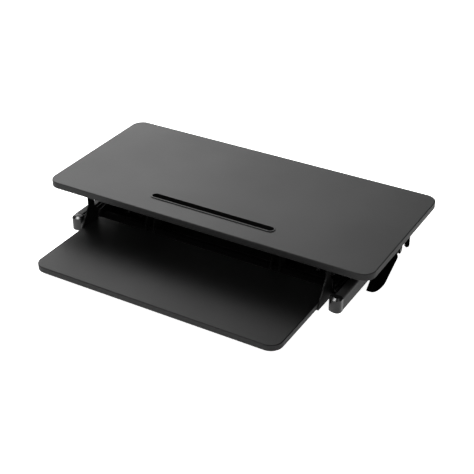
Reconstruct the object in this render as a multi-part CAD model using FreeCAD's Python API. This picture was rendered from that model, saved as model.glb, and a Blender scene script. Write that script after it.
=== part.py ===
import FreeCAD, Part
import math
import os
from FreeCAD import Vector

# Standing desk converter: a desktop and a keyboard tray on two X-shaped lift arms.
# Millimetres. +X is to the user's right, +Y is away from the user, +Z is up.
# The origin is at the bottom centre of the lowered converter, on the table's surface.

# ---- driving dimensions -------------------------------------------------------------
TOP_WIDTH = 900.0
TOP_DEPTH = 409.0
TOP_THICK = 18.0
TOP_CORNER_R = 31.0
EDGE_R = 2.2
TOP_UNDER_Z = 104.5

TRAY_WIDTH = 668.0
TRAY_REACH = 213.5          # how far the tray stands out in front of the top
TRAY_DEPTH = 265.5
TRAY_THICK = 16.0
TRAY_UNDER_Z = 8.0
TRAY_REAR_CORNER_R = 10.0

RAIL_OUTER_X = 382.0
RAIL_WIDTH = 29.0
RAIL_BOTTOM_Z = 1.0
RAIL_HEIGHT = 37.0
RAIL_WALL = 2.5
RAIL_LIP = 20.0             # width of the strip that closes the rail's top
CAP_DEPTH = 15.4            # behind the top's front edge
CAP_BULGE = 4.6             # how far the caps' faces swell ahead of that edge
CAP_CORNER_R = 12.0
CAP_BEVEL = 5.4
RAIL_EDGE_R = 7.0
RAIL_FOOT_R = 1.2

PIVOT_SETBACK = 72.0        # lower and upper fixed pivots, behind the top's front edge
ARM_SPAN = 316.0            # level distance from the fixed pivots to the rollers, lowered
ARM_HEIGHT = 28.0
ARM_THICK = 5.0
TORQUE_TUBE_R = 10.0
CROSS_TUBE_R = 8.0
TUBE_WALL = 1.5
INNER_ARM_X = 338.0
OUTER_ARM_X = 344.5

BOLT_R = 5.0
NUT_FLATS = 16.0
SPACER_R = 10.0
RUNNING_FIT = 0.05
ROLLER_R = 15.5
ROLLER_WIDTH = 14.0
WASHER_GAP = 0.3            # side play between parts that turn past each other
CUT = 1.0                   # how far cutting tools reach past a face

SLOT_LENGTH = 348.0
SLOT_WIDTH = 25.0
SLOT_SETBACK = 68.6
SLOT_GROOVE = 19.0
SLOT_RIM_HEIGHT = 2.0
SLOT_DEPTH = 9.0
LINER_WALL = 1.8

SPRING_X = 180.0
SPRING_CRANK = 76.0         # pivot to crank pin, and pivot to floor lug
SPRING_REST_DEG = 80.0      # crank's angle above the level, lowered
SPRING_PIN_R = 4.0
SPRING_ROD_R = 4.0
CYLINDER_R = 9.5
CYLINDER_BORE_R = 8.0
CYLINDER_FOOT = 27.0        # from the lug pin to the open end of the cylinder
GUIDE_LENGTH = 5.0          # rod guide at the cylinder's open end
CHEEK_GAP = 8.0             # half the room between the floor lug's cheeks
CHEEK_SHEET = 3.0
CRANK_GAP = 10.0            # half the room between the crank's plates
CRANK_SHEET = 4.0
EYE_HALF = 7.5              # half the width of the spring's end fittings
EYE_R = 7.0
HEAD_END = 25.0             # from the lug pin to the end of the release head
ROD_SOCKET = 8.0            # how far the rod sits in the release head
LEVER_PIN_OFFSET = 7.4      # valve lever's pin, off the spring's line
LEVER_PIN_ALONG = 18.0
LEVER_PIN_R = 1.5
LEVER_REACH = 18.0
LEVER_HALF = 2.0            # half the valve lever's thickness

HANDLE_X0 = 422.0           # the lever, on the right only
HANDLE_X1 = 434.0
HANDLE_EDGE_R = 2.0
HANDLE_PIVOT_SETBACK = 206.0
HANDLE_PIVOT_Z = 77.0
HANDLE_PIN_R = 3.0
BARREL_R = 8.0
EAR_R = 9.5
EAR_THICK = 2.5
EAR_GAP = 0.6

UPPER_CHANNEL_X = 309.0     # inner face of the upper channel's web
UPPER_CHANNEL_WIDTH = 26.0
UPPER_CHANNEL_SETBACK = 162.0
HANGER_THICK = 2.5
HANGER_NECK = (16.0, 39.0)  # front and rear of the hanger's neck, behind the top's front
HANGER_FOOT = (-20.0, 52.0)
BRACKET_SLIT = 5.0          # open slit between the hanger's neck and the pivot bracket

# ---- derived places -----------------------------------------------------------------
FRONT_Y = (TRAY_REACH - TOP_DEPTH) / 2.0
TOP_Z = TOP_UNDER_Z + TOP_THICK
GROOVE_LENGTH = SLOT_LENGTH - SLOT_WIDTH + SLOT_GROOVE
RAIL_REAR_Y = FRONT_Y + TOP_DEPTH
RAIL_INNER_X = RAIL_OUTER_X - RAIL_WIDTH
RAIL_TOP_Z = RAIL_BOTTOM_Z + RAIL_HEIGHT
CHANNEL_Y0 = FRONT_Y + CAP_DEPTH
REAR_CAP_DEPTH = 3.5
CHANNEL_Y1 = RAIL_REAR_Y - REAR_CAP_DEPTH

BASE_AXIS_Z = RAIL_BOTTOM_Z + RAIL_HEIGHT / 2.0
TOP_AXIS_Z = TOP_UNDER_Z - RAIL_HEIGHT / 2.0
PIVOT_Y = FRONT_Y + PIVOT_SETBACK
ROLLER_Y = PIVOT_Y + ARM_SPAN
ARM_RISE = TOP_AXIS_Z - BASE_AXIS_Z
ARM_LENGTH = math.hypot(ARM_SPAN, ARM_RISE)
ARM_ANGLE = math.degrees(math.atan2(ARM_RISE, ARM_SPAN))
CENTRE_Y = PIVOT_Y + ARM_SPAN / 2.0
CENTRE_Z = (BASE_AXIS_Z + TOP_AXIS_Z) / 2.0

UPPER_ROLLER_X = INNER_ARM_X - 7.0 - ROLLER_WIDTH
LOWER_ROLLER_X = OUTER_ARM_X + ARM_THICK + 8.0

SPRING_TILT = SPRING_REST_DEG / 2.0
SPRING_LENGTH = 2.0 * SPRING_CRANK * math.sin(math.radians(SPRING_TILT))
LUG_Y = PIVOT_Y + SPRING_CRANK
CRANK_PIN_Y = PIVOT_Y + SPRING_CRANK * math.cos(math.radians(SPRING_REST_DEG))
CRANK_PIN_Z = BASE_AXIS_Z + SPRING_CRANK * math.sin(math.radians(SPRING_REST_DEG))

HANGER_X = TRAY_WIDTH / 2.0 + 0.5
HANGER_BOTTOM_Z = TRAY_UNDER_Z - HANGER_THICK
HANDLE_PIVOT_Y = FRONT_Y + HANDLE_PIVOT_SETBACK
BRACKET_X0 = HANDLE_X0 - 12.0
BRACKET_X1 = HANDLE_X1 + EAR_GAP

SIDES = (("left", -1), ("right", 1))
X_AXIS = Vector(1, 0, 0)
Z_AXIS = Vector(0, 0, 1)


# ---- helpers ------------------------------------------------------------------------
def at_front(setback):
    """Y of a place that is this far behind the top's front edge."""
    return FRONT_Y + setback


def block(x0, x1, y0, y1, z0, z1):
    return Part.makeBox(x1 - x0, y1 - y0, z1 - z0, Vector(x0, y0, z0))


def rod(x0, x1, y, z, radius):
    """Cylinder along X."""
    return Part.makeCylinder(radius, x1 - x0, Vector(x0, y, z), X_AXIS)


def post(x, y, z0, z1, radius):
    """Cylinder along Z."""
    return Part.makeCylinder(radius, z1 - z0, Vector(x, y, z0), Z_AXIS)


def plate(wire, x0, x1):
    """Solid with a closed outline in the YZ plane at x0, as thick as x0 to x1."""
    return Part.Face(wire).extrude(Vector(x1 - x0, 0, 0))


def outline(x, points):
    """Closed straight-sided wire in the YZ plane at x."""
    corners = [Vector(x, y, z) for y, z in points]
    return Part.makePolygon(corners + corners[:1])


def arc(a, middle, b):
    return Part.Arc(a, middle, b).toShape()


def rounded_board(width, y0, y1, z0, z1, front_r, rear_r, edge_r):
    """Flat board with rounded plan corners and softened top and bottom edges."""
    body = block(-width / 2.0, width / 2.0, y0, y1, z0, z1)
    upright = [e for e in body.Edges if abs(e.Vertexes[0].Z - e.Vertexes[1].Z) > 1.0]
    front = [e for e in upright if abs(e.Vertexes[0].Y - y0) < 0.1]
    body = body.makeFillet(front_r, front)
    upright = [e for e in body.Edges if e.BoundBox.ZLength > 1.0]
    rear = [e for e in upright if abs(e.BoundBox.YMax - y1) < 0.1 and e.BoundBox.YLength < 0.1]
    body = body.makeFillet(rear_r, rear)
    rims = [e for e in body.Edges if e.BoundBox.ZLength < 0.01]
    return body.makeFillet(edge_r, rims)


def stadium(length, width, y, z0, z1):
    """Upright solid with round ends, long axis along X."""
    r = width / 2.0
    half = length / 2.0 - r
    body = block(-half, half, y - r, y + r, z0, z1)
    for x in (-half, half):
        body = body.fuse(post(x, y, z0, z1, r))
    return body.removeSplitter()


def mirrored(shape, side):
    """The shape itself on the right, its mirror image on the left."""
    return shape if side > 0 else shape.mirror(Vector(0, 0, 0), X_AXIS)


def both(shape):
    return [mirrored(shape, 1), mirrored(shape, -1)]


def export(name, *shapes):
    solids = []
    for shape in shapes:
        solids.extend(shape.Solids)
    result = solids[0] if len(solids) == 1 else Part.makeCompound(solids)
    result.exportStep("parts/" + name + ".step")


def export_sides(name, shape):
    for side_name, side in SIDES:
        export(name + "_" + side_name, mirrored(shape, side))


# ---- base ---------------------------------------------------------------------------
def soft_outer_edges(body, top_radius):
    """Rounds the two long edges on the side away from the middle, the lower one only a little."""
    x1 = body.BoundBox.XMax
    length = body.BoundBox.YLength
    for radius, z in ((top_radius, body.BoundBox.ZMax), (RAIL_FOOT_R, body.BoundBox.ZMin)):
        edge = [e for e in body.Edges if e.BoundBox.YLength > length - 0.1 and e.BoundBox.XMin > x1 - 0.1
                and abs(e.BoundBox.Center.z - z) < 0.1]
        body = body.makeFillet(radius, edge)
    return body


def base_rail():
    """Channel that opens towards the middle, with a lip on top."""
    x0, x1 = RAIL_INNER_X, RAIL_OUTER_X
    y0, y1 = CHANNEL_Y0 - CUT, CHANNEL_Y1 + CUT
    z0, z1 = RAIL_BOTTOM_Z, RAIL_TOP_Z
    body = soft_outer_edges(block(x0, x1, CHANNEL_Y0, CHANNEL_Y1, z0, z1), RAIL_EDGE_R)
    hollow = soft_outer_edges(block(x0 - CUT, x1 - RAIL_WALL, y0, y1, z0 + RAIL_WALL, z1 - RAIL_WALL),
                              RAIL_EDGE_R - RAIL_WALL)
    mouth = block(x0 - CUT, x1 - RAIL_LIP, y0, y1, z1 - RAIL_WALL - CUT, z1 + CUT)
    return body.cut(hollow).cut(mouth)


def front_cap():
    """Moulded end piece with a swelling face, a bevelled top edge and a plug in the channel."""
    x0, x1 = RAIL_INNER_X, RAIL_OUTER_X
    z0, z1 = RAIL_BOTTOM_Z - 0.5, RAIL_TOP_Z + 0.4
    y1 = CHANNEL_Y0
    crown = FRONT_Y - CAP_BULGE
    corner_x = x1 - CAP_CORNER_R
    corner_y = crown + CAP_CORNER_R
    swell = ((corner_x - x0) ** 2 + CAP_BULGE ** 2) / (2.0 * CAP_BULGE)
    half_turn = math.asin((corner_x - x0) / swell) / 2.0
    middle = Vector(corner_x - swell * math.sin(half_turn), crown + swell * (1.0 - math.cos(half_turn)), z0)
    diagonal = CAP_CORNER_R * math.sqrt(0.5)

    inner = Vector(x0, FRONT_Y, z0)
    crest = Vector(corner_x, crown, z0)
    flank = Vector(x1, corner_y, z0)
    edges = [arc(inner, middle, crest),
             arc(crest, Vector(corner_x + diagonal, corner_y - diagonal, z0), flank),
             Part.makeLine(flank, Vector(x1, y1, z0)),
             Part.makeLine(Vector(x1, y1, z0), Vector(x0, y1, z0)),
             Part.makeLine(Vector(x0, y1, z0), inner)]
    body = Part.Face(Part.Wire(edges)).extrude(Vector(0, 0, z1 - z0))
    rim = [e for e in body.Edges if e.BoundBox.ZMin > z1 - 0.1 and e.BoundBox.YMax < y1 - 1.0
           and e.BoundBox.XMax > x0 + 1]
    body = body.makeChamfer(CAP_BEVEL, rim)
    ridges = [e for e in body.Edges if e.BoundBox.ZMin > z1 - CAP_BEVEL - 0.1 and e.BoundBox.ZLength < 0.1
              and e.BoundBox.YMax < y1 - 1.0 and e.BoundBox.XMax > x0 + 1]
    body = body.makeFillet(CAP_BEVEL / 5.0, ridges)
    gap = 0.2
    plug = soft_outer_edges(block(x0 + 4, x1 - RAIL_WALL - gap, y1 - CUT, y1 + 14,
                                  RAIL_BOTTOM_Z + RAIL_WALL + gap, RAIL_TOP_Z - RAIL_WALL - gap),
                            RAIL_EDGE_R - RAIL_WALL)
    return body.fuse(plug).removeSplitter()


def rear_cap():
    """Flat end piece with the rail's outline and a softened rear face."""
    body = block(RAIL_INNER_X, RAIL_OUTER_X, CHANNEL_Y1, RAIL_REAR_Y, RAIL_BOTTOM_Z, RAIL_TOP_Z)
    body = soft_outer_edges(body, RAIL_EDGE_R)
    rim = [e for e in body.Edges if e.BoundBox.YMin > RAIL_REAR_Y - 0.1]
    return body.makeFillet(REAR_CAP_DEPTH / 3.0, rim)


def cross_plate(y0, y1, lip_at):
    """Flat tie between the rails with one folded stiffening lip."""
    sheet = RAIL_WALL
    z0 = RAIL_BOTTOM_Z
    body = block(-RAIL_INNER_X, RAIL_INNER_X, y0, y1, z0, z0 + sheet)
    lip = block(-INNER_ARM_X + 20, INNER_ARM_X - 20, lip_at, lip_at + sheet, z0, z0 + 14)
    return body.fuse(lip).removeSplitter()


def base_pivot_plate():
    """Welded closing plate in the channel's mouth that carries the lower pivot."""
    x0 = RAIL_INNER_X
    body = block(x0, x0 + RAIL_WALL, PIVOT_Y - 30, PIVOT_Y + 30,
                 RAIL_BOTTOM_Z + RAIL_WALL, RAIL_TOP_Z - RAIL_WALL)
    return body.cut(rod(x0 - 1, x0 + 5, PIVOT_Y, BASE_AXIS_Z, BOLT_R))


def base_pivot_bolt():
    """Shoulder bolt from inside the torque tube to a nut inside the rail."""
    nut_x = RAIL_INNER_X + RAIL_WALL
    shank = rod(INNER_ARM_X - 4, nut_x + 7, PIVOT_Y, BASE_AXIS_Z, BOLT_R)
    head = rod(INNER_ARM_X - 8, INNER_ARM_X - 4, PIVOT_Y, BASE_AXIS_Z, 6.7)
    nut = hex_prism(nut_x, nut_x + 5, PIVOT_Y, BASE_AXIS_Z, NUT_FLATS)
    return shank.fuse([head, nut]).removeSplitter()


def hex_prism(x0, x1, y, z, across_flats):
    r = across_flats / math.sqrt(3.0)
    points = []
    for k in range(6):
        a = math.radians(60.0 * k)
        points.append((y + r * math.cos(a), z + r * math.sin(a)))
    return plate(outline(x0, points), x0, x1)


def spacer(x0, x1, y, z, radius):
    return rod(x0, x1, y, z, radius).cut(rod(x0 - CUT, x1 + CUT, y, z, BOLT_R))


def base_spacer():
    x0 = INNER_ARM_X + ARM_THICK + WASHER_GAP
    return spacer(x0, RAIL_INNER_X, PIVOT_Y, BASE_AXIS_Z, SPACER_R)


def rubber_foot(y):
    width = RAIL_WIDTH - 6
    body = block(RAIL_OUTER_X - 3 - width, RAIL_OUTER_X - 3, y - 15, y + 15, 0, RAIL_BOTTOM_Z)
    upright = [e for e in body.Edges if e.BoundBox.ZLength > RAIL_BOTTOM_Z / 2.0]
    return body.makeFillet(6.0, upright)


def plate_foot(x, y):
    return post(x, y, 0, RAIL_BOTTOM_Z, 9.0)


def tie_screw(x, y):
    """Button-head screw on the cross plates."""
    z = RAIL_BOTTOM_Z + RAIL_WALL
    body = post(x, y, z, z + 2.4, 5.0)
    rim = [e for e in body.Edges if e.BoundBox.ZLength < 0.01 and e.BoundBox.ZMin > z + 1]
    body = body.makeFillet(1.2, rim)
    return body.cut(post(x, y, z + 1.1, z + 3, 1.6))


# ---- arms ---------------------------------------------------------------------------
def arm_bar(x0, y0, z0, y1, z1, holes):
    """Flat bar with round ends between two points of a YZ plane, drilled on its line."""
    length = math.hypot(y1 - y0, z1 - z0)
    r = ARM_HEIGHT / 2.0
    body = block(x0, x0 + ARM_THICK, 0, length, -r, r)
    body = body.fuse([rod(x0, x0 + ARM_THICK, 0, 0, r), rod(x0, x0 + ARM_THICK, length, 0, r)])
    body = body.removeSplitter()
    for distance, radius in holes:
        body = body.cut(rod(x0 - 1, x0 + ARM_THICK + 1, distance, 0, radius))
    body.rotate(Vector(0, 0, 0), X_AXIS, math.degrees(math.atan2(z1 - z0, y1 - y0)))
    body.translate(Vector(0, y0, z0))
    return body


def inner_arm():
    """Lower front pivot to upper rear roller."""
    half = ARM_LENGTH / 2.0
    fit = BOLT_R + RUNNING_FIT
    holes = ((0, fit), (half, fit), (ARM_LENGTH, BOLT_R))
    return arm_bar(INNER_ARM_X, PIVOT_Y, BASE_AXIS_Z, ROLLER_Y, TOP_AXIS_Z, holes)


def outer_arm():
    """Upper front pivot to lower rear roller."""
    half = ARM_LENGTH / 2.0
    fit = BOLT_R + RUNNING_FIT
    holes = ((0, fit), (half, BOLT_R), (ARM_LENGTH, BOLT_R))
    return arm_bar(OUTER_ARM_X, PIVOT_Y, TOP_AXIS_Z, ROLLER_Y, BASE_AXIS_Z, holes)


def cross_tube(half_length, along, rising):
    """Round tube across the machine at a distance along an arm from its centre."""
    angle = math.radians(ARM_ANGLE)
    y = CENTRE_Y + along * math.cos(angle)
    z = CENTRE_Z + rising * along * math.sin(angle)
    body = rod(-half_length, half_length, y, z, CROSS_TUBE_R)
    return body.cut(rod(-half_length - CUT, half_length + CUT, y, z, CROSS_TUBE_R - TUBE_WALL))


def torque_tube():
    reach = INNER_ARM_X
    body = rod(-reach, reach, PIVOT_Y, BASE_AXIS_Z, TORQUE_TUBE_R)
    return body.cut(rod(-reach - CUT, reach + CUT, PIVOT_Y, BASE_AXIS_Z, TORQUE_TUBE_R - 2.5))


def roller_axle(x0, x1, y, z, rim_x):
    """Axle pin with a retaining rim beyond the roller."""
    shank = rod(x0, x1, y, z, BOLT_R)
    rim = rod(rim_x, rim_x + 1.5, y, z, 7.5)
    return shank.fuse(rim).removeSplitter()


def upper_axle():
    """Points inwards from the inner arm."""
    rim_x = UPPER_ROLLER_X - 1.9
    return roller_axle(rim_x, INNER_ARM_X + ARM_THICK, ROLLER_Y, TOP_AXIS_Z, rim_x)


def lower_axle():
    """Points outwards from the outer arm."""
    rim_x = LOWER_ROLLER_X + ROLLER_WIDTH + 0.4
    return roller_axle(OUTER_ARM_X, rim_x + 1.5, ROLLER_Y, BASE_AXIS_Z, rim_x)


def roller(x0, z):
    """Nylon wheel with a dished side and a running bore."""
    x1 = x0 + ROLLER_WIDTH
    body = rod(x0, x1, ROLLER_Y, z, ROLLER_R)
    rims = [e for e in body.Edges if e.BoundBox.XLength < 0.01]
    body = body.makeFillet(1.5, rims)
    for start in (x0 - 1, x1 - 2):
        dish = rod(start, start + 3, ROLLER_Y, z, 11.5).cut(rod(start, start + 3, ROLLER_Y, z, 8.0))
        body = body.cut(dish)
    return body.cut(rod(x0 - 1, x1 + 1, ROLLER_Y, z, BOLT_R + RUNNING_FIT))


def centre_bolt():
    head = rod(INNER_ARM_X - 2, INNER_ARM_X - WASHER_GAP, CENTRE_Y, CENTRE_Z, 9.0)
    shank = rod(INNER_ARM_X - 1, OUTER_ARM_X + ARM_THICK + 1, CENTRE_Y, CENTRE_Z, BOLT_R)
    nut_x = OUTER_ARM_X + ARM_THICK
    nut = hex_prism(nut_x, nut_x + 2.8, CENTRE_Y, CENTRE_Z, NUT_FLATS)
    return shank.fuse([head, nut]).removeSplitter()


def centre_washer():
    x0 = INNER_ARM_X + ARM_THICK + WASHER_GAP
    return spacer(x0, OUTER_ARM_X, CENTRE_Y, CENTRE_Z, 13.0)


# ---- gas springs --------------------------------------------------------------------
def cheek(x0, thick, y0, z0, r0, y1, z1, r1):
    """Plate whose outline is two circles joined by their common tangents."""
    length = math.hypot(y1 - y0, z1 - z0)
    slope = math.acos((r0 - r1) / length)
    heading = math.atan2(z1 - z0, y1 - y0)
    points = []
    start = (y0, z0, r0)
    finish = (y1, z1, r1)
    for circle, turn in ((start, 1), (finish, 1), (finish, -1), (start, -1)):
        y, z, r = circle
        a = heading + turn * slope
        points.append((y + r * math.cos(a), z + r * math.sin(a)))
    body = plate(outline(x0, points), x0, x0 + thick)
    ends = [rod(x0, x0 + thick, y0, z0, r0), rod(x0, x0 + thick, y1, z1, r1)]
    return body.fuse(ends).removeSplitter()


def spring_crank():
    """One of the two plates welded on the torque tube that the spring lifts."""
    plates = []
    for x0 in (SPRING_X - CRANK_GAP - CRANK_SHEET, SPRING_X + CRANK_GAP):
        x1 = x0 + CRANK_SHEET
        body = cheek(x0, CRANK_SHEET, PIVOT_Y, BASE_AXIS_Z, 14.5, CRANK_PIN_Y, CRANK_PIN_Z, 9.0)
        body = body.cut(rod(x0 - CUT, x1 + CUT, PIVOT_Y, BASE_AXIS_Z, TORQUE_TUBE_R))
        plates.append(body.cut(rod(x0 - CUT, x1 + CUT, CRANK_PIN_Y, CRANK_PIN_Z, SPRING_PIN_R)))
    return plates


def clevis_pin(y, z, reach):
    shank = rod(SPRING_X - reach, SPRING_X + reach, y, z, SPRING_PIN_R)
    head = rod(SPRING_X - reach - 2, SPRING_X - reach, y, z, 6.5)
    clip = rod(SPRING_X + reach, SPRING_X + reach + 1.2, y, z, 6.0)
    return shank.fuse([head, clip]).removeSplitter()


def spring_lug():
    """Folded clevis on the cross plate that holds the spring's lower end."""
    ear_r = 9.0
    foot = 13.0
    z0 = RAIL_BOTTOM_Z + RAIL_WALL
    reach = CHEEK_GAP + CHEEK_SHEET
    body = block(SPRING_X - reach, SPRING_X + reach, LUG_Y - foot, LUG_Y + foot, z0, z0 + 2.0)
    for x0 in (SPRING_X - reach, SPRING_X + CHEEK_GAP):
        ear = block(x0, x0 + CHEEK_SHEET, LUG_Y - ear_r, LUG_Y + ear_r, z0, BASE_AXIS_Z)
        ear = ear.fuse(rod(x0, x0 + CHEEK_SHEET, LUG_Y, BASE_AXIS_Z, ear_r))
        body = body.fuse(ear)
    body = body.removeSplitter()
    hole = rod(SPRING_X - reach - CUT, SPRING_X + reach + CUT, LUG_Y, BASE_AXIS_Z, SPRING_PIN_R)
    return body.cut(hole)


def on_spring(shape):
    """Puts a shape drawn along +Z from the origin onto the spring's line at the lug."""
    shape.rotate(Vector(0, 0, 0), X_AXIS, SPRING_TILT)
    shape.translate(Vector(SPRING_X, LUG_Y, BASE_AXIS_Z))
    return shape


def release_head():
    """Fitting on the rod's end with the eye and the valve lever's bracket."""
    boss = LEVER_PIN_OFFSET + 2.0 * LEVER_PIN_R
    body = block(-EYE_HALF, EYE_HALF, -EYE_R, EYE_R, 0, HEAD_END)
    body = body.fuse(block(-EYE_HALF, EYE_HALF, 0, boss, HEAD_END - 16.0, HEAD_END))
    body = body.fuse(rod(-EYE_HALF, EYE_HALF, 0, 0, EYE_R)).removeSplitter()
    body = body.cut(rod(-EYE_HALF - CUT, EYE_HALF + CUT, 0, 0, SPRING_PIN_R + RUNNING_FIT))
    body = body.cut(post(0, 0, HEAD_END - ROD_SOCKET, HEAD_END + CUT, SPRING_ROD_R))
    lever_room = block(-LEVER_HALF - 0.4, LEVER_HALF + 0.4, SPRING_ROD_R + 0.4, boss + CUT,
                       EYE_R, HEAD_END + CUT)
    body = body.cut(lever_room)
    pin = rod(-EYE_HALF, EYE_HALF, LEVER_PIN_OFFSET, LEVER_PIN_ALONG, LEVER_PIN_R)
    return on_spring(body.fuse(pin).removeSplitter())


def spring_rod():
    """Polished rod with its piston, fixed in the release head."""
    tip = SPRING_LENGTH - 15.0
    body = post(0, 0, HEAD_END - ROD_SOCKET, tip, SPRING_ROD_R)
    piston = post(0, 0, tip - 5.0, tip, CYLINDER_BORE_R - 0.4)
    return on_spring(body.fuse(piston).removeSplitter())


def release_lever():
    """Small valve lever that the handle's cable pulls."""
    y = LEVER_PIN_OFFSET
    z = LEVER_PIN_ALONG
    tip = y + LEVER_REACH
    hub_r = 2.6
    cable_hole_r = 1.1
    body = cheek(-LEVER_HALF, 2 * LEVER_HALF, y, z, hub_r, tip, z, hub_r - 0.1)
    toe = block(-LEVER_HALF, LEVER_HALF, y - 2.0, y + 1.0, z - 7.0, z - 2.0)
    body = body.fuse(toe).removeSplitter()
    body = body.cut(rod(-LEVER_HALF - CUT, LEVER_HALF + CUT, y, z, LEVER_PIN_R + RUNNING_FIT))
    return on_spring(body.cut(rod(-LEVER_HALF - CUT, LEVER_HALF + CUT, tip, z, cable_hole_r)))


def spring_cylinder():
    """Hollow cylinder with a guide bore below and an eye on the crank pin above."""
    top = SPRING_LENGTH
    shoulder = top - 10.0
    end_wall = top - 14.0
    guide_end = CYLINDER_FOOT + GUIDE_LENGTH
    body = post(0, 0, CYLINDER_FOOT, shoulder, CYLINDER_R)
    rims = [e for e in body.Edges if e.BoundBox.ZLength < 0.01]
    body = body.makeFillet(1.5, rims)
    neck = block(-EYE_HALF, EYE_HALF, -6, 6, shoulder - CUT, top)
    neck = neck.common(post(0, 0, shoulder - CUT, top + CUT, CYLINDER_R - 0.5))
    eye = rod(-EYE_HALF, EYE_HALF, 0, top, EYE_R + 1.0)
    body = body.fuse([neck, eye]).removeSplitter()
    body = body.cut(post(0, 0, guide_end, end_wall, CYLINDER_BORE_R))
    body = body.cut(post(0, 0, CYLINDER_FOOT - CUT, guide_end + CUT, SPRING_ROD_R + RUNNING_FIT))
    hole = rod(-EYE_HALF - CUT, EYE_HALF + CUT, 0, top, SPRING_PIN_R + RUNNING_FIT)
    return on_spring(body.cut(hole))


# ---- top and tray -------------------------------------------------------------------
def desk_top():
    body = rounded_board(TOP_WIDTH, FRONT_Y, FRONT_Y + TOP_DEPTH, TOP_UNDER_Z, TOP_Z,
                         TOP_CORNER_R, TOP_CORNER_R, EDGE_R)
    fit = 2.0 * (LINER_WALL + 0.2)
    pocket = stadium(GROOVE_LENGTH + fit, SLOT_GROOVE + fit, at_front(SLOT_SETBACK),
                     TOP_Z - SLOT_DEPTH - LINER_WALL - 0.2, TOP_Z + CUT)
    return body.cut(pocket)


def slot_liner():
    """Moulded liner of the tablet slot, with a raised rim."""
    y = at_front(SLOT_SETBACK)
    rim = stadium(SLOT_LENGTH, SLOT_WIDTH, y, TOP_Z, TOP_Z + SLOT_RIM_HEIGHT)
    edge = [e for e in rim.Edges if e.BoundBox.ZMin > TOP_Z + 1]
    rim = rim.makeFillet(1.0, edge)
    walls = 2.0 * LINER_WALL
    well = stadium(GROOVE_LENGTH + walls, SLOT_GROOVE + walls, y, TOP_Z - SLOT_DEPTH - LINER_WALL, TOP_Z)
    body = rim.fuse(well).removeSplitter()
    groove = stadium(GROOVE_LENGTH, SLOT_GROOVE, y, TOP_Z - SLOT_DEPTH, TOP_Z + SLOT_RIM_HEIGHT + CUT)
    return body.cut(groove)


def upper_channel():
    """Channel under the top that opens towards the inner arm's roller."""
    x0 = UPPER_CHANNEL_X
    x1 = x0 + UPPER_CHANNEL_WIDTH
    y0 = at_front(UPPER_CHANNEL_SETBACK)
    y1 = CHANNEL_Y1
    z0 = TOP_UNDER_Z - RAIL_HEIGHT
    body = block(x0, x1, y0, y1, z0, TOP_UNDER_Z)
    hollow = block(x0 + RAIL_WALL, x1 + 1, y0 - 1, y1 + 1, z0 + RAIL_WALL, TOP_UNDER_Z - RAIL_WALL)
    return body.cut(hollow)


def upper_pivot_bracket():
    """Angle plate under the top that carries the outer arm's front end."""
    x0 = HANGER_X
    x1 = x0 + HANGER_THICK
    y0 = at_front(HANGER_NECK[1]) + BRACKET_SLIT
    y1 = PIVOT_Y + 30
    drop = TOP_UNDER_Z - 32
    points = ((y0, TOP_UNDER_Z), (y0, drop), (PIVOT_Y + 12, drop),
              (y1, TOP_UNDER_Z - 14), (y1, TOP_UNDER_Z))
    body = plate(outline(x0, points), x0, x1)
    flange = block(x0 - 22, x1, y0, y1, TOP_UNDER_Z - HANGER_THICK, TOP_UNDER_Z)
    body = body.fuse(flange).removeSplitter()
    return body.cut(rod(x0 - 1, x1 + 1, PIVOT_Y, TOP_AXIS_Z, BOLT_R))


def upper_pivot_bolt():
    x0 = HANGER_X
    head = rod(x0 - 4, x0, PIVOT_Y, TOP_AXIS_Z, 8.5)
    end = OUTER_ARM_X + ARM_THICK
    shank = rod(x0 - 1, end + 2.9, PIVOT_Y, TOP_AXIS_Z, BOLT_R)
    nut = hex_prism(end + WASHER_GAP, end + 3.1, PIVOT_Y, TOP_AXIS_Z, NUT_FLATS)
    return shank.fuse([head, nut]).removeSplitter()


def upper_spacer():
    return spacer(HANGER_X + HANGER_THICK, OUTER_ARM_X - WASHER_GAP, PIVOT_Y, TOP_AXIS_Z, SPACER_R)


def tray_hanger():
    """Bent plate: top flange, neck, raked foot beside the tray, flange under the tray."""
    x0 = HANGER_X
    x1 = x0 + HANGER_THICK
    neck0, neck1 = (at_front(s) for s in HANGER_NECK)
    foot0, foot1 = (at_front(s) for s in HANGER_FOOT)
    points = ((neck0, TOP_UNDER_Z), (neck0, 72.0), (foot0 + 1, 18.0), (foot0, HANGER_BOTTOM_Z),
              (foot1, HANGER_BOTTOM_Z), (foot1, 46.0), (neck1, 62.0), (neck1, TOP_UNDER_Z))
    body = plate(outline(x0, points), x0, x1)
    top_flange = block(x0 - 22, x1, neck0, neck1, TOP_UNDER_Z - HANGER_THICK, TOP_UNDER_Z)
    foot_flange = block(x0 - 26, x1, foot0, foot1, HANGER_BOTTOM_Z, TRAY_UNDER_Z)
    return body.fuse([top_flange, foot_flange]).removeSplitter()


def keyboard_tray():
    y0 = FRONT_Y - TRAY_REACH
    return rounded_board(TRAY_WIDTH, y0, y0 + TRAY_DEPTH, TRAY_UNDER_Z, TRAY_UNDER_Z + TRAY_THICK,
                         TOP_CORNER_R, TRAY_REAR_CORNER_R, EDGE_R)


def under_screw(x, y, z):
    """Pan-head screw whose head hangs below a flange at height z."""
    body = post(x, y, z - 2.2, z, 4.2)
    rim = [e for e in body.Edges if e.BoundBox.ZLength < 0.01 and e.BoundBox.ZMax < z - 1]
    body = body.makeFillet(1.0, rim)
    return body.cut(post(x, y, z - 3, z - 1.2, 1.3))


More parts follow.
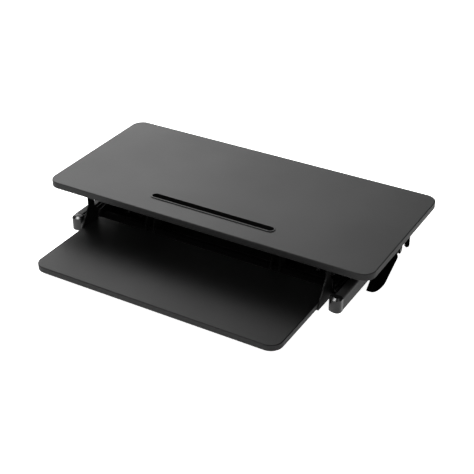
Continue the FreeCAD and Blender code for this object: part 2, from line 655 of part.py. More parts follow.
# ---- release handle -----------------------------------------------------------------
def handle_lever():
    """Leaf-shaped lever under the top's right edge, thick enough to squeeze, with a pivot barrel."""
    def place(setback, z):
        return Vector(HANDLE_X0, at_front(setback), z)

    tip = place(46.5, 50.5)
    belly = place(122.0, 22.7)
    hollow = place(147.0, 30.8)
    heel = place(201.0, 56.0)
    neck = place(194.0, 70.0)
    low_barrel = Vector(HANDLE_X0, HANDLE_PIVOT_Y - 5.0, HANDLE_PIVOT_Z - 4.0)
    back_barrel = Vector(HANDLE_X0, HANDLE_PIVOT_Y + 4.0, HANDLE_PIVOT_Z + 5.0)
    shoulder = place(188.0, 89.0)
    crest = place(92.0, 89.0)
    edges = [arc(tip, place(78.0, 32.2), belly),
             arc(belly, place(136.0, 25.2), hollow),
             Part.makeLine(hollow, heel),
             arc(heel, place(200.2, 64.5), neck)]
    path = [neck, low_barrel, back_barrel, shoulder, crest, tip]
    for a, b in zip(path[:-1], path[1:]):
        edges.append(Part.makeLine(a, b))
    body = plate(Part.Wire(edges), HANDLE_X0, HANDLE_X1)
    lower = [e for e in body.Edges if e.BoundBox.XLength < 0.01 and e.BoundBox.ZMin < 60.0
             and e.BoundBox.ZMax < 70.5]
    body = body.makeFillet(HANDLE_EDGE_R, lower)
    barrel = rod(HANDLE_X0 - 4.0, HANDLE_X1, HANDLE_PIVOT_Y, HANDLE_PIVOT_Z, BARREL_R)
    body = body.fuse(barrel).removeSplitter()
    bore = rod(HANDLE_X0 - 5.0, HANDLE_X1 + CUT, HANDLE_PIVOT_Y, HANDLE_PIVOT_Z, HANDLE_PIN_R + RUNNING_FIT)
    return body.cut(bore)


def handle_bracket():
    """U-shaped sheet bracket with two ears round the lever's barrel."""
    y0 = HANDLE_PIVOT_Y - EAR_R
    y1 = HANDLE_PIVOT_Y + EAR_R
    body = block(BRACKET_X0 - EAR_THICK, BRACKET_X1 + EAR_THICK, y0 - 6, y1 + 6,
                 TOP_UNDER_Z - EAR_THICK, TOP_UNDER_Z)
    for x0 in (BRACKET_X0 - EAR_THICK, BRACKET_X1):
        x1 = x0 + EAR_THICK
        ear = block(x0, x1, y0, y1, HANDLE_PIVOT_Z, TOP_UNDER_Z)
        body = body.fuse([ear, rod(x0, x1, HANDLE_PIVOT_Y, HANDLE_PIVOT_Z, EAR_R)])
    body = body.removeSplitter()
    return body.cut(rod(BRACKET_X0 - 9, BRACKET_X1 + 9, HANDLE_PIVOT_Y, HANDLE_PIVOT_Z, HANDLE_PIN_R))


def handle_pin():
    x0 = BRACKET_X0 - EAR_THICK
    x1 = BRACKET_X1 + EAR_THICK
    shank = rod(x0, x1, HANDLE_PIVOT_Y, HANDLE_PIVOT_Z, HANDLE_PIN_R)
    heads = [rod(x0 - 1.5, x0, HANDLE_PIVOT_Y, HANDLE_PIVOT_Z, 5.0),
             rod(x1, x1 + 1.0, HANDLE_PIVOT_Y, HANDLE_PIVOT_Z, 4.5)]
    return shank.fuse(heads).removeSplitter()


def handle_spring():
    """Envelope of the torsion spring coiled round the pin beside the barrel."""
    x0 = BRACKET_X0 + 0.4
    x1 = HANDLE_X0 - 4.4
    body = rod(x0, x1, HANDLE_PIVOT_Y, HANDLE_PIVOT_Z, 5.6)
    return body.cut(rod(x0 - CUT, x1 + CUT, HANDLE_PIVOT_Y, HANDLE_PIVOT_Z, 3.6))


def cable_stop():
    """Bent tab behind the handle that would anchor the release cable's sheath."""
    x0 = HANDLE_X0 + 6.0
    x1 = x0 + EAR_THICK
    y0, y1 = at_front(252.5), at_front(281.0)
    points = ((y0, TOP_UNDER_Z), (y0, 60.0), (y0 + 12.5, 49.5),
              (y0 + 24.0, 45.5), (y1, 47.5), (y1, TOP_UNDER_Z))
    body = plate(outline(x0, points), x0, x1)
    flange = block(x0 - 20, x1, y0, y1, TOP_UNDER_Z - EAR_THICK, TOP_UNDER_Z)
    body = body.fuse(flange).removeSplitter()
    return body.cut(rod(x0 - CUT, x1 + CUT, (y0 + y1) / 2.0, 62.0, 3.2))


# ---- build --------------------------------------------------------------------------
def build_base():
    export_sides("base_rail", base_rail())
    export_sides("front_cap", front_cap())
    export("rear_caps", *both(rear_cap()))
    front_end = at_front(178.0)
    export("front_cross_plate", cross_plate(at_front(60.0), front_end, front_end - RAIL_WALL))
    rear_start = at_front(352.0)
    export("rear_cross_plate", cross_plate(rear_start, rear_start + 48.0, rear_start))
    export("base_pivot_plates", *both(base_pivot_plate()))
    export("base_pivot_bolts", *both(base_pivot_bolt()))
    export("base_spacers", *both(base_spacer()))
    feet = []
    for setback in (40.0, 215.0, 385.0):
        feet.extend(both(rubber_foot(at_front(setback))))
    for setback in (132.0, 376.0):
        feet.extend(both(plate_foot(90.0, at_front(setback))))
    export("rubber_feet", *feet)
    export("spring_lugs", *both(spring_lug()))
    export("lug_pins", *both(clevis_pin(LUG_Y, BASE_AXIS_Z, CHEEK_GAP + 3.0)))
    screws = []
    for setback in (132.0, 376.0):
        for x in (260.0, 300.0):
            screws.extend(both(tie_screw(x, at_front(setback))))
    export("base_screws", *screws)


def build_arms():
    export_sides("inner_arm", inner_arm())
    export("torque_tube", torque_tube())
    export("inner_cross_tube", cross_tube(INNER_ARM_X, 25.0, 1))
    cranks = []
    for piece in spring_crank():
        cranks.extend(both(piece))
    export("spring_cranks", *cranks)
    export("crank_pins", *both(clevis_pin(CRANK_PIN_Y, CRANK_PIN_Z, CRANK_GAP + 4.0)))
    export("upper_roller_axles", *both(upper_axle()))
    export_sides("outer_arm", outer_arm())
    export("outer_front_tube", cross_tube(OUTER_ARM_X, -84.0, -1))
    export("outer_rear_tube", cross_tube(OUTER_ARM_X, 110.0, -1))
    export("lower_roller_axles", *both(lower_axle()))
    export("centre_bolts", *both(centre_bolt()))
    export("centre_washers", *both(centre_washer()))
    export_sides("upper_roller", roller(UPPER_ROLLER_X, TOP_AXIS_Z))
    export_sides("lower_roller", roller(LOWER_ROLLER_X, BASE_AXIS_Z))


def build_springs():
    export_sides("gas_spring_cylinder", spring_cylinder())
    export_sides("gas_spring_rod", spring_rod())
    export_sides("release_head", release_head())
    export_sides("release_lever", release_lever())


def build_top():
    export("desk_top", desk_top())
    export("tablet_slot_liner", slot_liner())
    export_sides("upper_channel", upper_channel())
    export("upper_pivot_brackets", *both(upper_pivot_bracket()))
    export("upper_pivot_bolts", *both(upper_pivot_bolt()))
    export("upper_spacers", *both(upper_spacer()))
    export_sides("tray_hanger", tray_hanger())
    export("keyboard_tray", keyboard_tray())
    tray_screws = []
    for setback in (-8.0, 16.0, 40.0):
        tray_screws.extend(both(under_screw(HANGER_X - 13.0, at_front(setback), HANGER_BOTTOM_Z)))
    export("tray_screws", *tray_screws)
    top_screws = []
    for setback in (22.0, 34.0, 64.0, 96.0):
        top_screws.extend(both(under_screw(HANGER_X - 11.0, at_front(setback), TOP_UNDER_Z - HANGER_THICK)))
    export("top_screws", *top_screws)


def build_handle():
    export("handle", handle_lever())
    export("handle_bracket", handle_bracket())
    export("handle_pin", handle_pin())
    export("handle_spring", handle_spring())
    export("cable_stop", cable_stop())


os.makedirs("parts", exist_ok=True)
build_base()
build_arms()
build_springs()
build_top()
build_handle()
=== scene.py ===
import math

import bmesh
import bpy
from mathutils import Matrix, Vector

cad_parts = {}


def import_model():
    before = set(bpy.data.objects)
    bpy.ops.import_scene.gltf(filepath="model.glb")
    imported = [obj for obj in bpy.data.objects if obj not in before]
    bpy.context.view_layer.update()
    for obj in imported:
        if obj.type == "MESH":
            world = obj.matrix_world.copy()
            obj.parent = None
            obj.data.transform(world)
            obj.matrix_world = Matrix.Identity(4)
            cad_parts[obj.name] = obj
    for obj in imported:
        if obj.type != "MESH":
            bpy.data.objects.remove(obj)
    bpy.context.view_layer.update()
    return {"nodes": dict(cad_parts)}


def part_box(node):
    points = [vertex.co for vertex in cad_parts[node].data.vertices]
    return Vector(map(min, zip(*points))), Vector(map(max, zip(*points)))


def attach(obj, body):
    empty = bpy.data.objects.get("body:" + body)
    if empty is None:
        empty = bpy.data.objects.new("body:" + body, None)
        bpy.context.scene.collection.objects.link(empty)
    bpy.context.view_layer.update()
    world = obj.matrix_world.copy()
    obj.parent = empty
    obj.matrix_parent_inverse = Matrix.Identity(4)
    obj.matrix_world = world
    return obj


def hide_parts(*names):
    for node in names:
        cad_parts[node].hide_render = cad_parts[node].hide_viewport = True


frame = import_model()
NODES = frame["nodes"]

MM = 0.001
SIDES = (("left", -1), ("right", 1))


# ---- materials ----------------------------------------------------------------------
class Surface:
    """One procedural material: a Principled shader and the node chains that feed it."""

    def __init__(self, name, colour, roughness, metallic=0.0, specular=0.5):
        self.material = bpy.data.materials.new(name)
        self.material.use_nodes = True
        self.nodes = self.material.node_tree.nodes
        self.links = self.material.node_tree.links
        self.shader = self.nodes["Principled BSDF"]
        self.shader.inputs["Base Color"].default_value = grey(colour)
        self.shader.inputs["Roughness"].default_value = roughness
        self.shader.inputs["Metallic"].default_value = metallic
        self.shader.inputs["Specular IOR Level"].default_value = specular
        coords = self.add("ShaderNodeTexCoord")
        self.place = coords.outputs["Object"]
        self.facing = coords.outputs["Normal"]
        self.heights = []

    def add(self, kind, **settings):
        node = self.nodes.new(kind)
        for key, value in settings.items():
            setattr(node, key, value)
        return node

    def join(self, source, target):
        self.links.new(source, target)

    def stretched(self, scale):
        """Object coordinates scaled per axis, for streaks and brush lines."""
        mapping = self.add("ShaderNodeMapping")
        mapping.inputs["Scale"].default_value = scale
        self.join(self.place, mapping.inputs["Vector"])
        return mapping.outputs["Vector"]

    def noise(self, scale, detail=2.0, roughness=0.5, along=None):
        """Noise with features about 1 / scale metres wide."""
        node = self.add("ShaderNodeTexNoise")
        node.inputs["Scale"].default_value = scale
        node.inputs["Detail"].default_value = detail
        node.inputs["Roughness"].default_value = roughness
        self.join(along or self.place, node.inputs["Vector"])
        return node.outputs["Fac"]

    def cells(self, scale):
        node = self.add("ShaderNodeTexVoronoi")
        node.inputs["Scale"].default_value = scale
        self.join(self.place, node.inputs["Vector"])
        return node.outputs["Distance"]

    def remap(self, value, low, high, to_low=0.0, to_high=1.0):
        node = self.add("ShaderNodeMapRange")
        node.inputs["From Min"].default_value = low
        node.inputs["From Max"].default_value = high
        node.inputs["To Min"].default_value = to_low
        node.inputs["To Max"].default_value = to_high
        self.join(value, node.inputs["Value"])
        return node.outputs["Result"]

    def times(self, a, b):
        node = self.add("ShaderNodeMath", operation="MULTIPLY")
        self.join(a, node.inputs[0])
        self.join(b, node.inputs[1])
        return node.outputs["Value"]

    def plus(self, a, b):
        node = self.add("ShaderNodeMath", operation="ADD")
        self.join(a, node.inputs[0])
        self.join(b, node.inputs[1])
        return node.outputs["Value"]

    def edges(self, radius):
        """1 on sharp edges, 0 on flats, over a band of about the radius."""
        bevel = self.add("ShaderNodeBevel", samples=6)
        bevel.inputs["Radius"].default_value = radius
        geometry = self.add("ShaderNodeNewGeometry")
        dot = self.add("ShaderNodeVectorMath", operation="DOT_PRODUCT")
        self.join(bevel.outputs["Normal"], dot.inputs[0])
        self.join(geometry.outputs["Normal"], dot.inputs[1])
        return self.remap(dot.outputs["Value"], 0.995, 0.80)

    def upright(self):
        """How far the surface faces up or down: 1 on a board's faces, 0 on its edge band."""
        split = self.add("ShaderNodeSeparateXYZ")
        self.join(self.facing, split.inputs["Vector"])
        size = self.add("ShaderNodeMath", operation="ABSOLUTE")
        self.join(split.outputs["Z"], size.inputs[0])
        return size.outputs["Value"]

    def mix(self, factor, a, b):
        """Colour a where the factor is 0 and b where it is 1: grey levels, colours or sockets."""
        node = self.add("ShaderNodeMix", data_type="RGBA")
        self.join(factor, node.inputs["Factor"])
        for value, socket in ((a, node.inputs[6]), (b, node.inputs[7])):
            if isinstance(value, bpy.types.NodeSocket):
                self.join(value, socket)
            else:
                socket.default_value = grey(value)
        return node.outputs[2]

    def colour(self, source):
        self.join(source, self.shader.inputs["Base Color"])

    def rough(self, source):
        self.join(source, self.shader.inputs["Roughness"])

    def bump(self, height, distance, strength=1.0):
        """Adds a height pattern, in metres, on top of those already there."""
        node = self.add("ShaderNodeBump")
        node.inputs["Distance"].default_value = distance
        node.inputs["Strength"].default_value = strength
        self.join(height, node.inputs["Height"])
        if self.heights:
            self.join(self.heights[-1], node.inputs["Normal"])
        self.heights.append(node.outputs["Normal"])
        self.join(node.outputs["Normal"], self.shader.inputs["Normal"])


def grey(value):
    """A grey level or an RGB triple as an RGBA tuple."""
    if isinstance(value, (int, float)):
        return (value, value, value, 1.0)
    return (value[0], value[1], value[2], 1.0)


def laminate(name, roughness, specular, band_level):
    """Satin black board: fine pearl grain, faint cloudiness, scuffed edges and its own edge band."""
    s = Surface(name, 0.0015, roughness, specular=specular)
    clouds = s.noise(5.0, 3.0)
    grain = s.noise(900.0, 2.0, 0.6)
    wear = s.times(s.edges(0.0012), s.remap(s.noise(60.0, 4.0), 0.45, 0.75))
    tone = s.mix(s.remap(clouds, 0.3, 0.7), 0.0008, 0.0016)
    speck = s.mix(s.remap(grain, 0.4, 0.75), tone, 0.004)
    band = s.remap(s.upright(), 0.3, 0.7, 1.0, 0.0)
    s.colour(s.mix(wear, s.mix(band, speck, band_level), 0.02))
    satin = s.plus(s.remap(clouds, 0.3, 0.7, roughness, roughness + 0.04),
                   s.remap(grain, 0.3, 0.7, -0.02, 0.03))
    s.rough(s.plus(satin, s.times(band, s.remap(grain, 0.3, 0.7, 0.1, 0.14))))
    s.bump(grain, 0.00006, 0.7)
    return s.material


def powder_coat(name, level, roughness, specular, edge_wear_and_glint=0.05, band=0.0009):
    """Black powder coating: orange peel with a fine sandy grain and lighter edges, as wear and, on the
    hanger, as a painted highlight on its lit front edge.
    """
    s = Surface(name, level, roughness, specular=specular)
    peel = s.noise(420.0, 2.0)
    sand = s.cells(1100.0)
    dust = s.noise(14.0, 4.0)
    # Edge mask: wear, and on the hanger a painted highlight along its lit edges.
    wear = s.times(s.edges(band), s.remap(s.noise(90.0, 4.0), 0.35, 0.7))
    tone = s.mix(s.remap(dust, 0.35, 0.7), level * 0.85, level * 1.3)
    s.colour(s.mix(wear, tone, edge_wear_and_glint))
    s.rough(s.plus(s.remap(sand, 0.0, 0.8, roughness + 0.06, roughness - 0.04),
                   s.remap(dust, 0.3, 0.7, -0.03, 0.04)))
    s.bump(peel, 0.00012, 0.6)
    s.bump(sand, 0.00006, 0.5)
    return s.material


def moulded(name, level, roughness, grain, specular=0.5, rim_rub_and_glint=0.02):
    """Injection-moulded black plastic with a spark-eroded grain and lighter edges: softly polished wear,
    and on the handle a painted highlight where its rim catches the light.
    """
    s = Surface(name, level, roughness, specular=specular)
    fine = s.noise(1500.0, 2.0, 0.7)
    flow = s.noise(22.0, 3.0)
    # Edge mask: rubbed wear, and on the handle a painted highlight along its lit rim.
    rub_and_lit_rim = s.times(s.edges(0.0012), s.remap(s.noise(70.0, 3.0), 0.35, 0.7))
    tone = s.mix(s.remap(flow, 0.3, 0.7), level * 0.85, level * 1.2)
    s.colour(s.mix(rub_and_lit_rim, tone, rim_rub_and_glint))
    s.rough(s.plus(s.remap(flow, 0.3, 0.7, roughness - 0.03, roughness + 0.04),
                   s.remap(fine, 0.3, 0.7, -0.02, 0.02)))
    s.bump(fine, grain, 0.6)
    return s.material


def zinc():
    """Bright zinc plating over turned steel."""
    s = Surface("zinc_steel", 0.42, 0.3, metallic=1.0)
    spangle = s.cells(260.0)
    haze = s.noise(120.0, 4.0)
    turned = s.noise(1800.0, 1.0, along=s.stretched((1.0, 0.04, 0.04)))
    s.colour(s.mix(s.remap(haze, 0.3, 0.7), 0.315, 0.525))
    s.rough(s.plus(s.remap(spangle, 0.0, 0.7, 0.34, 0.24), s.remap(turned, 0.3, 0.7, -0.05, 0.06)))
    s.bump(turned, 0.00003, 0.5)
    return s.material


def black_oxide():
    """Blackened steel of bolts and small levers, bared to metal on its edges."""
    s = Surface("black_oxide", 0.02, 0.34, metallic=0.7)
    blotch = s.noise(150.0, 4.0)
    wear = s.times(s.edges(0.0006), s.remap(s.noise(300.0, 3.0), 0.4, 0.7))
    s.colour(s.mix(wear, s.mix(s.remap(blotch, 0.3, 0.7), 0.014, 0.03), 0.2))
    s.rough(s.remap(blotch, 0.3, 0.7, 0.28, 0.42))
    s.bump(s.noise(1600.0, 2.0), 0.00003, 0.5)
    return s.material


def rubber():
    """Dull rubber with a rough grain and a little dust."""
    s = Surface("rubber", 0.018, 0.75, specular=0.3)
    grain = s.noise(700.0, 4.0, 0.7)
    dust = s.noise(40.0, 4.0)
    s.colour(s.mix(s.remap(dust, 0.45, 0.75), 0.014, 0.034))
    s.rough(s.remap(grain, 0.3, 0.7, 0.68, 0.85))
    s.bump(grain, 0.00012, 0.7)
    return s.material


def spring_wire():
    """Drawn spring steel under a thin, uneven film of oil."""
    s = Surface("spring_wire", 0.3, 0.35, metallic=1.0)
    drawn = s.noise(2200.0, 2.0)
    oil = s.noise(160.0, 3.0)
    s.colour(s.mix(s.remap(oil, 0.3, 0.7), 0.2, 0.42))
    s.rough(s.remap(drawn, 0.3, 0.7, 0.26, 0.44))
    s.bump(drawn, 0.00002, 0.5)
    return s.material


def polished_rod():
    """Ground and polished steel with fine scratches along one axis."""
    s = Surface("polished_rod", 0.62, 0.12, metallic=1.0)
    scratches = s.noise(900.0, 3.0, along=s.stretched((1.0, 0.08, 0.08)))
    film = s.noise(60.0, 3.0)
    s.colour(s.mix(s.remap(film, 0.3, 0.7), 0.52, 0.68))
    s.rough(s.plus(s.remap(scratches, 0.35, 0.7, 0.08, 0.16), s.remap(film, 0.3, 0.7, 0.0, 0.05)))
    s.bump(scratches, 0.00001, 0.4)
    return s.material


def nylon():
    """Off-white nylon, slightly translucent, with grime on its edges."""
    s = Surface("roller_nylon", 0.35, 0.45, specular=0.4)
    flow = s.noise(60.0, 3.0)
    grime = s.times(s.edges(0.0015), s.remap(s.noise(120.0, 4.0), 0.4, 0.7))
    s.shader.inputs["Subsurface Weight"].default_value = 0.15
    s.shader.inputs["Subsurface Radius"].default_value = (0.002, 0.002, 0.0018)
    resin = s.mix(s.remap(flow, 0.3, 0.7), (0.33, 0.33, 0.31), (0.42, 0.42, 0.4))
    s.colour(s.mix(grime, resin, 0.12))
    s.rough(s.remap(flow, 0.3, 0.7, 0.4, 0.52))
    s.bump(s.noise(1200.0, 2.0), 0.00004, 0.5)
    return s.material


# finish: its material
MATERIALS = {
    "laminate": laminate("laminate", 0.47, 0.25, 0.002),
    "tray": laminate("tray_laminate", 0.36, 0.085, 0.034),
    "rail": powder_coat("rail_coat", 0.016, 0.5, 0.17),
    # Mechanism coat, kept far darker than the rails' coat of the same black paint: painted shade for the
    # parts under the tabletop.
    "powder": powder_coat("powder_coat", 0.002, 0.5, 0.04, edge_wear_and_glint=0.03),
    # Still darker, duller copy of the same black coat for the parts deepest under the tabletop and tray:
    # painted shade.
    "plate": powder_coat("shaded_plate_coat", 0.001, 0.6, 0.012, edge_wear_and_glint=0.006),
    # Hanger: edges lightened far above its faces, a painted highlight standing in for its lit front edge.
    "hanger": powder_coat("hanger_coat", 0.0025, 0.5, 0.03, edge_wear_and_glint=0.12, band=0.0014),
    "cap": moulded("cap_plastic", 0.004, 0.2, 0.00001, 0.32),
    # The handle's lighter edges are a painted highlight along the rim that catches the light; the handle
    # itself has no specular reflection.
    "handle": moulded("handle_plastic", 0.0014, 0.55, 0.00008, 0.0, rim_rub_and_glint=0.012),
    "liner": moulded("liner_plastic", 0.0006, 0.42, 0.00005, 0.22, rim_rub_and_glint=0.003),
    "zinc": zinc(),
    "oxide": black_oxide(),
    "rubber": rubber(),
    "wire": spring_wire(),
    "chrome": polished_rod(),
    "nylon": nylon(),
}

# finish: the CAD nodes that have it
FINISHES = {
    "laminate": ("desk_top",),
    "tray": ("keyboard_tray",),
    "rail": ("base_rail_left", "base_rail_right"),
    # Mechanism parts under the tabletop, in the darkened coat that stands for painted shade.
    "powder": ("rear_cross_plate", "base_pivot_plates", "inner_arm_left", "inner_arm_right",
               "inner_cross_tube", "spring_cranks", "outer_arm_left", "outer_arm_right", "outer_rear_tube",
               "upper_pivot_brackets", "gas_spring_cylinder_left", "gas_spring_cylinder_right"),
    # Parts deep under the tabletop and tray, given the darker copy of the coat as painted shade.
    "plate": ("front_cross_plate", "spring_lugs", "upper_channel_left", "upper_channel_right",
              "torque_tube", "outer_front_tube"),
    # The hangers carry a painted highlight on their edges.
    "hanger": ("tray_hanger_left", "tray_hanger_right"),
    "cap": ("front_cap_left", "front_cap_right"),
    # The handle's lit rim is painted into its colour through the edge mask.
    "handle": ("handle", "handle_bracket", "cable_stop", "rear_caps"),
    "liner": ("tablet_slot_liner",),
    "zinc": ("lug_pins", "crank_pins", "centre_washers", "upper_roller_axles", "lower_roller_axles"),
    "oxide": ("base_pivot_bolts", "upper_pivot_bolts", "base_spacers", "upper_spacers", "base_screws",
              "tray_screws", "top_screws", "centre_bolts", "handle_pin", "release_head_left",
              "release_head_right", "release_lever_left", "release_lever_right"),
    "rubber": ("rubber_feet",),
    "chrome": ("gas_spring_rod_left", "gas_spring_rod_right"),
    "nylon": ("upper_roller_left", "upper_roller_right", "lower_roller_left", "lower_roller_right"),
}


def finish_cad():
    """Puts each finish's material on its CAD nodes."""
    for finish, names in FINISHES.items():
        for name in names:
            for material_slot in NODES[name].material_slots:
                material_slot.material = MATERIALS[finish]


# ---- pieces made here ---------------------------------------------------------------
SPRING_WIRE_R = 0.75 * MM
SPRING_LEG = 10.0 * MM      # how far the spring's straight leg reaches past its coil
SPRING_TURNS = 4.5
WELD_R = 1.3 * MM
WELD_STEPS = 96
CRANK_PAIR_WIDTH = 28.0 * MM


def sweep(name, path, radius, material, sides=10, closed=False, ripple=None):
    """Tube mesh that follows a list of points; ripple gives a radius factor along it."""
    count = len(path)
    mesh = bmesh.new()
    rings = []
    side = None
    for k, point in enumerate(path):
        ahead = path[(k + 1) % count] if closed else path[min(k + 1, count - 1)]
        behind = path[k - 1] if closed else path[max(k - 1, 0)]
        tangent = (ahead - behind).normalized()
        if side is None:
            side = tangent.orthogonal().normalized()
        side = (side - tangent * side.dot(tangent)).normalized()
        other = tangent.cross(side)
        r = radius * (ripple(k) if ripple else 1.0)
        ring = []
        for j in range(sides):
            a = 2.0 * math.pi * j / sides
            ring.append(mesh.verts.new(point + r * (math.cos(a) * side + math.sin(a) * other)))
        rings.append(ring)
    pairs = list(zip(rings, rings[1:] + rings[:1])) if closed else list(zip(rings[:-1], rings[1:]))
    for a, b in pairs:
        for j in range(sides):
            k = (j + 1) % sides
            mesh.faces.new((a[j], a[k], b[k], b[j]))
    if not closed:
        mesh.faces.new(rings[0][::-1])
        mesh.faces.new(rings[-1])
    bmesh.ops.recalc_face_normals(mesh, faces=mesh.faces)
    return finish_piece(name, mesh, material)


def linked(name, data):
    """New object in the scene for a mesh, a lamp or a camera."""
    item = bpy.data.objects.new(name, data)
    bpy.context.scene.collection.objects.link(item)
    return item


def finish_piece(name, mesh, material):
    """Smooth-shaded object made from a bmesh."""
    for face in mesh.faces:
        face.smooth = True
    data = bpy.data.meshes.new(name)
    mesh.to_mesh(data)
    mesh.free()
    data.materials.append(material)
    return linked(name, data)


def handle_spring():
    """Torsion spring coiled round the handle's pin, with one leg up to the desktop."""
    low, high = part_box("handle_spring")
    centre = (low + high) / 2.0
    coil_r = (high.z - low.z) / 2.0 - SPRING_WIRE_R
    first_x = low.x + SPRING_WIRE_R
    length = high.x - low.x - 2.0 * SPRING_WIRE_R
    path = []
    leg = coil_r + SPRING_LEG
    leg_steps = 6
    for k in range(leg_steps):
        rise = leg * (1.0 - k / leg_steps)
        path.append(Vector((first_x, centre.y - coil_r, centre.z + rise)))
    turn_steps = 28
    total = int(SPRING_TURNS * turn_steps)
    for k in range(total + 1):
        a = math.pi + 2.0 * math.pi * k / turn_steps
        x = first_x + length * k / total
        path.append(Vector((x, centre.y + coil_r * math.cos(a), centre.z + coil_r * math.sin(a))))
    spring = sweep("handle_spring_coil", path, SPRING_WIRE_R, MATERIALS["wire"], sides=8)
    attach(spring, "top")
    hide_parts("handle_spring")


def ring_path(x, y, z, radius, steps):
    """Circle in a YZ plane."""
    path = []
    for k in range(steps):
        a = 2.0 * math.pi * k / steps
        path.append(Vector((x, y + radius * math.cos(a), z + radius * math.sin(a))))
    return path


def weld_ring(name, x, y, z, radius, body, phase):
    """Weld bead round a tube where it meets a plate."""

    def ripple(k):
        return 1.0 + 0.16 * math.sin(k * 1.9 + phase) + 0.07 * math.sin(k * 0.37 + 2.0 * phase)

    path = ring_path(x, y, z, radius, WELD_STEPS)
    bead = sweep(name, path, WELD_R, MATERIALS["powder"], closed=True, ripple=ripple)
    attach(bead, body)


def weld_seams():
    """Beads on the outer faces of the cranks' pairs and round the ends of the cross tubes."""
    tube_low, tube_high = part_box("torque_tube")
    y = (tube_low.y + tube_high.y) / 2.0
    z = (tube_low.z + tube_high.z) / 2.0
    r = (tube_high.z - tube_low.z) / 2.0
    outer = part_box("spring_cranks")[1].x
    for name, side in SIDES:
        for k, x in enumerate((outer, outer - CRANK_PAIR_WIDTH)):
            weld_ring(f"crank_weld_{name}_{k}", side * x, y, z, r, "inner_arms", 0.7 * k + side)
        weld_ring(f"torque_tube_weld_{name}", side * tube_high.x, y, z, r, "inner_arms", 0.4 * side)
    for node, body in (("inner_cross_tube", "inner_arms"), ("outer_front_tube", "outer_arms"),
                       ("outer_rear_tube", "outer_arms")):
        low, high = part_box(node)
        middle = (low + high) / 2.0
        r = (high.z - low.z) / 2.0
        for name, side in SIDES:
            weld_ring(f"{node}_weld_{name}", side * high.x, middle.y, middle.z, r, body,
                      middle.y * 50.0 + side)


# ---- stage --------------------------------------------------------------------------
FLOOR_HALF = 12.0
BACKDROP_R = 11.0
# direction and radiance of the light tent's two bright sides
BRIGHT_SIDES = (((-0.80, 0.50, 0.34), 7.6), ((0.80, -0.50, 0.34), 3.0))
BRIGHT_EDGE = 0.72          # cosine of the angle at which a bright side fades out
TENT_RADIANCE = 0.05        # what each side's ramp gives in all other directions
SKIRT_TOP = (0.12, 0.45)    # Z of the directions between which the dark skirt fades out
CAP_LIGHT_AT = (-0.95, -1.82, 2.45)
CAP_LIGHT_AIM = (-0.37, -0.1, 0.03)
CAP_LIGHT_SIZE = (0.85, 0.9)
CAP_LIGHT_RADIANCE = 27.0
CAMERA_AT = (1.18652, -1.91422, 1.41592)
CAMERA_YAW = 30.613         # degrees, to the left of +Y
CAMERA_PITCH = 31.495       # degrees, downwards
CAMERA_ROLL = 0.394         # degrees
FOCAL_LENGTH = 80.98        # millimetres, on a sensor 36 wide


def glowing(name, colour, roughness, specular, strength):
    """Stage material that also gives white light of its own."""
    surface = Surface(name, colour, roughness, specular=specular)
    surface.shader.inputs["Emission Color"].default_value = grey(1.0)
    surface.shader.inputs["Emission Strength"].default_value = strength
    return surface.material


def floor():
    """Pale floor that glows a little, so that shadows on it stay faint."""
    mesh = bpy.data.meshes.new("floor")
    r = FLOOR_HALF
    mesh.from_pydata([(-r, -r, 0), (r, -r, 0), (r, r, 0), (-r, r, 0)], [], [(0, 1, 2, 3)])
    mesh.materials.append(glowing("floor", 0.9, 0.8, 0.1, 0.9))
    plane = linked("floor", mesh)
    plane.visible_diffuse = False


def cap_light():
    """Small softbox at the front left, which makes the highlights on the front caps."""
    width, height = CAP_LIGHT_SIZE
    light = bpy.data.lights.new("cap_light", "AREA")
    light.shape = "RECTANGLE"
    light.size = width
    light.size_y = height
    light.energy = CAP_LIGHT_RADIANCE * math.pi * width * height
    lamp = linked("cap_light", light)
    lamp.location = CAP_LIGHT_AT
    away = Vector(CAP_LIGHT_AT) - Vector(CAP_LIGHT_AIM)
    lamp.rotation_euler = away.to_track_quat("Z", "Y").to_euler()


def backdrop():
    """White dome behind everything, which lights nothing and shows in no reflection."""
    mesh = bmesh.new()
    bmesh.ops.create_uvsphere(mesh, u_segments=48, v_segments=24, radius=BACKDROP_R)
    data = bpy.data.meshes.new("backdrop")
    mesh.to_mesh(data)
    mesh.free()
    data.materials.append(glowing("backdrop", 0.0, 1.0, 0.0, 1.0))
    dome = linked("backdrop", data)
    dome.visible_diffuse = False
    dome.visible_glossy = False
    dome.visible_transmission = False
    dome.visible_shadow = False


def smooth_ramp(nodes, low, high, to_low=0.0, to_high=1.0):
    """Map Range node with a soft start and end."""
    ramp = nodes.new("ShaderNodeMapRange")
    ramp.interpolation_type = "SMOOTHSTEP"
    ramp.inputs["From Min"].default_value = low
    ramp.inputs["From Max"].default_value = high
    ramp.inputs["To Min"].default_value = to_low
    ramp.inputs["To Max"].default_value = to_high
    return ramp


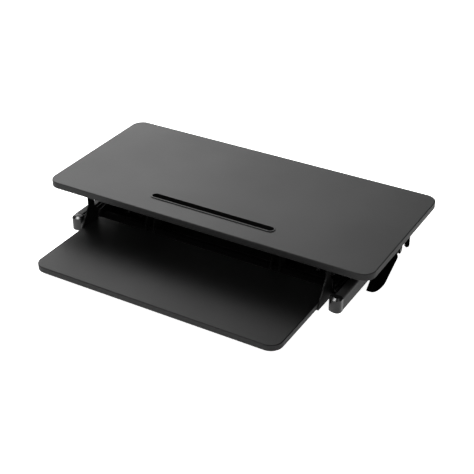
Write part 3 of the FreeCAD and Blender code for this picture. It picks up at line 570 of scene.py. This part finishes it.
def world():
    """Light tent with a bright side at the back left, a weaker one opposite and a dark skirt."""
    tent = bpy.data.worlds.new("tent")
    bpy.context.scene.world = tent
    tent.use_nodes = True
    nodes = tent.node_tree.nodes
    links = tent.node_tree.links
    coords = nodes.new("ShaderNodeTexCoord")
    sides = []
    for direction, radiance in BRIGHT_SIDES:
        dot = nodes.new("ShaderNodeVectorMath")
        dot.operation = "DOT_PRODUCT"
        dot.inputs[1].default_value = Vector(direction).normalized()
        links.new(coords.outputs["Generated"], dot.inputs[0])
        ramp = smooth_ramp(nodes, BRIGHT_EDGE, 1.0, TENT_RADIANCE, radiance)
        links.new(dot.outputs["Value"], ramp.inputs["Value"])
        sides.append(ramp)
    total = nodes.new("ShaderNodeMath")
    total.operation = "ADD"
    links.new(sides[0].outputs["Result"], total.inputs[0])
    links.new(sides[1].outputs["Result"], total.inputs[1])
    height = nodes.new("ShaderNodeSeparateXYZ")
    links.new(coords.outputs["Generated"], height.inputs["Vector"])
    skirt = smooth_ramp(nodes, *SKIRT_TOP)
    links.new(height.outputs["Z"], skirt.inputs["Value"])
    glow = nodes.new("ShaderNodeMath")
    glow.operation = "MULTIPLY"
    links.new(total.outputs["Value"], glow.inputs[0])
    links.new(skirt.outputs["Result"], glow.inputs[1])
    background = nodes["Background"]
    background.inputs["Color"].default_value = grey(1.0)
    links.new(glow.outputs["Value"], background.inputs["Strength"])


def camera():
    """Looks down at the converter from the front right."""
    yaw = math.radians(CAMERA_YAW)
    pitch = math.radians(CAMERA_PITCH)
    roll = math.radians(CAMERA_ROLL)
    reach = math.cos(pitch)
    forward = Vector((-math.sin(yaw) * reach, math.cos(yaw) * reach, -math.sin(pitch)))
    level = Vector((math.cos(yaw), math.sin(yaw), 0.0))
    down = forward.cross(level)
    right = level * math.cos(roll) + down * math.sin(roll)
    up = level * math.sin(roll) - down * math.cos(roll)
    lens = bpy.data.cameras.new("camera")
    lens.lens = FOCAL_LENGTH
    lens.sensor_width = 36.0
    lens.clip_start = 0.05
    lens.clip_end = 60.0
    eye = linked("camera", lens)
    turn = Matrix((right, up, -forward)).transposed().to_4x4()
    eye.matrix_world = Matrix.Translation(CAMERA_AT) @ turn
    bpy.context.scene.camera = eye


bpy.context.scene.view_settings.view_transform = "Standard"
finish_cad()
floor()
backdrop()
world()
cap_light()
camera()

handle_spring()
weld_seams()
